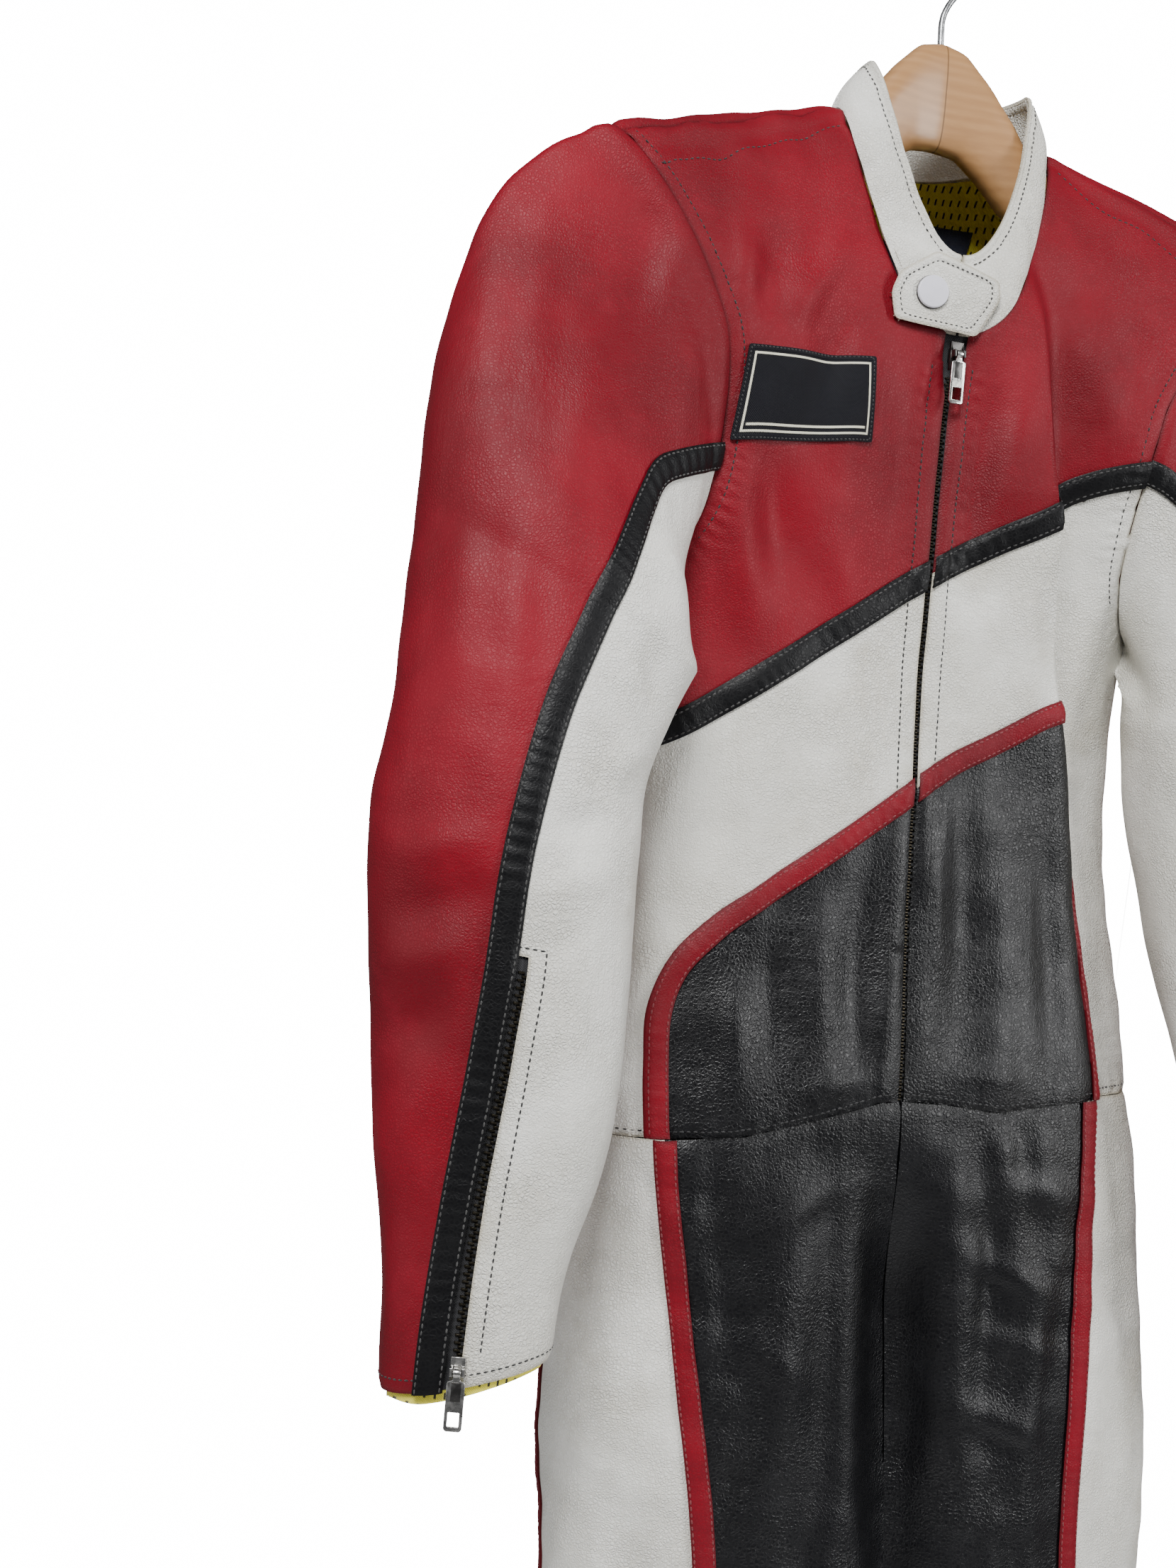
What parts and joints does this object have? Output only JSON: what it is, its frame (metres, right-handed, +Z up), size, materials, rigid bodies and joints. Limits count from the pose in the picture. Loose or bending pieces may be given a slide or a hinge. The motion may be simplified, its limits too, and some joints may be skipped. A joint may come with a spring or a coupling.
{
  "type": "motorcycle race suit on a hanger",
  "caption": "One-piece zipped leather race suit in red, white and black panels with banded seams, hung on a wooden wishbone hanger with a wire hook.",
  "frame": {"origin": "the seat inside the top of the hanger's hook, where a rail carries it", "axes": "+Z up, the suit's front faces -Y, the wearer's right sleeve is on the -X side"},
  "size_m": [0.5731, 0.2056, 1.6518],
  "materials": {
    "red_leather": "worn, softly shining red hide with fine creases",
    "white_leather": "worn off-white hide with fine creases",
    "black_leather": "pebbled, softly shining black hide",
    "lining": "yellow perforated mesh",
    "tape": "black woven zip tape",
    "label": "dark blue woven label, blank",
    "size_label": "small white label, blank",
    "patch": "dark sewn patch with a cream frame line",
    "dark_metal": "dark worn metal",
    "nickel": "bright nickel",
    "snap": "smooth white cap",
    "wood": "clear lacquered light brown wood",
    "steel": "plated steel wire"
  },
  "bodies": {
    "suit": {"front_right_red": "red_leather", "front_left_red": "red_leather", "front_right_white": "white_leather", "front_left_white": "white_leather", "front_right_black": "black_leather", "front_left_black": "black_leather", "back_red": "red_leather", "back_white": "white_leather", "strip_black_front_right": "black_leather", "strip_black_front_left": "black_leather", "strip_red_front_right": "red_leather", "strip_red_front_left": "red_leather", "strip_black_back": "black_leather", "chest_patch": "patch", "zip_tape": "tape", "zip_teeth": "dark_metal", "lining_yoke": "lining", "neck_label": "label", "size_label": "size_label", "collar": "white_leather", "collar_tab": "white_leather", "snap_cap": "snap", "zip_slider": "dark_metal", "hanger_wood": "wood", "hanger_hook": "steel", "pants_front_right_black": "black_leather", "pants_side_right_white": "white_leather", "pants_back_right_black": "black_leather", "strip_red_leg_front_right": "red_leather", "strip_red_leg_back_right": "red_leather", "sleeve_outer_right_red": "red_leather", "sleeve_inner_right_white": "white_leather", "sleeve_back_right_red": "red_leather", "strip_black_sleeve_right": "black_leather", "cuff_zip_teeth_right": "dark_metal", "cuff_zip_tape_right": "tape", "lining_cuff_right": "lining", "cuff_slider_right": "nickel", "pants_front_left_black": "black_leather", "pants_side_left_white": "white_leather", "pants_back_left_black": "black_leather", "strip_red_leg_front_left": "red_leather", "strip_red_leg_back_left": "red_leather", "sleeve_outer_left_red": "red_leather", "sleeve_inner_left_white": "white_leather", "sleeve_back_left_red": "red_leather", "strip_black_sleeve_left": "black_leather", "cuff_zip_teeth_left": "dark_metal", "cuff_zip_tape_left": "tape", "lining_cuff_left": "lining", "cuff_slider_left": "nickel"},
    "main_pull": {"zip_pull": "nickel"},
    "right_cuff_pull": {"cuff_pull_right": "nickel"},
    "left_cuff_pull": {"cuff_pull_left": "nickel"}
  },
  "joints": [
    {"name": "main_pull_swing", "type": "hinge", "parent": "suit", "child": "main_pull", "pos_m": [0, -0.04992, -0.249], "axis": [-1, 0, 0], "range_deg": [0, 95]},
    {"name": "right_cuff_pull_swing", "type": "hinge", "parent": "suit", "child": "right_cuff_pull", "pos_m": [-0.24163, -0.11368, -0.75534], "axis": [-0.9458, 0.3246, 0], "range_deg": [0, 110]},
    {"name": "left_cuff_pull_swing", "type": "hinge", "parent": "suit", "child": "left_cuff_pull", "pos_m": [0.24954, -0.12707, -0.75503], "axis": [-0.9546, -0.2978, 0], "range_deg": [0, 110]}
  ]
}
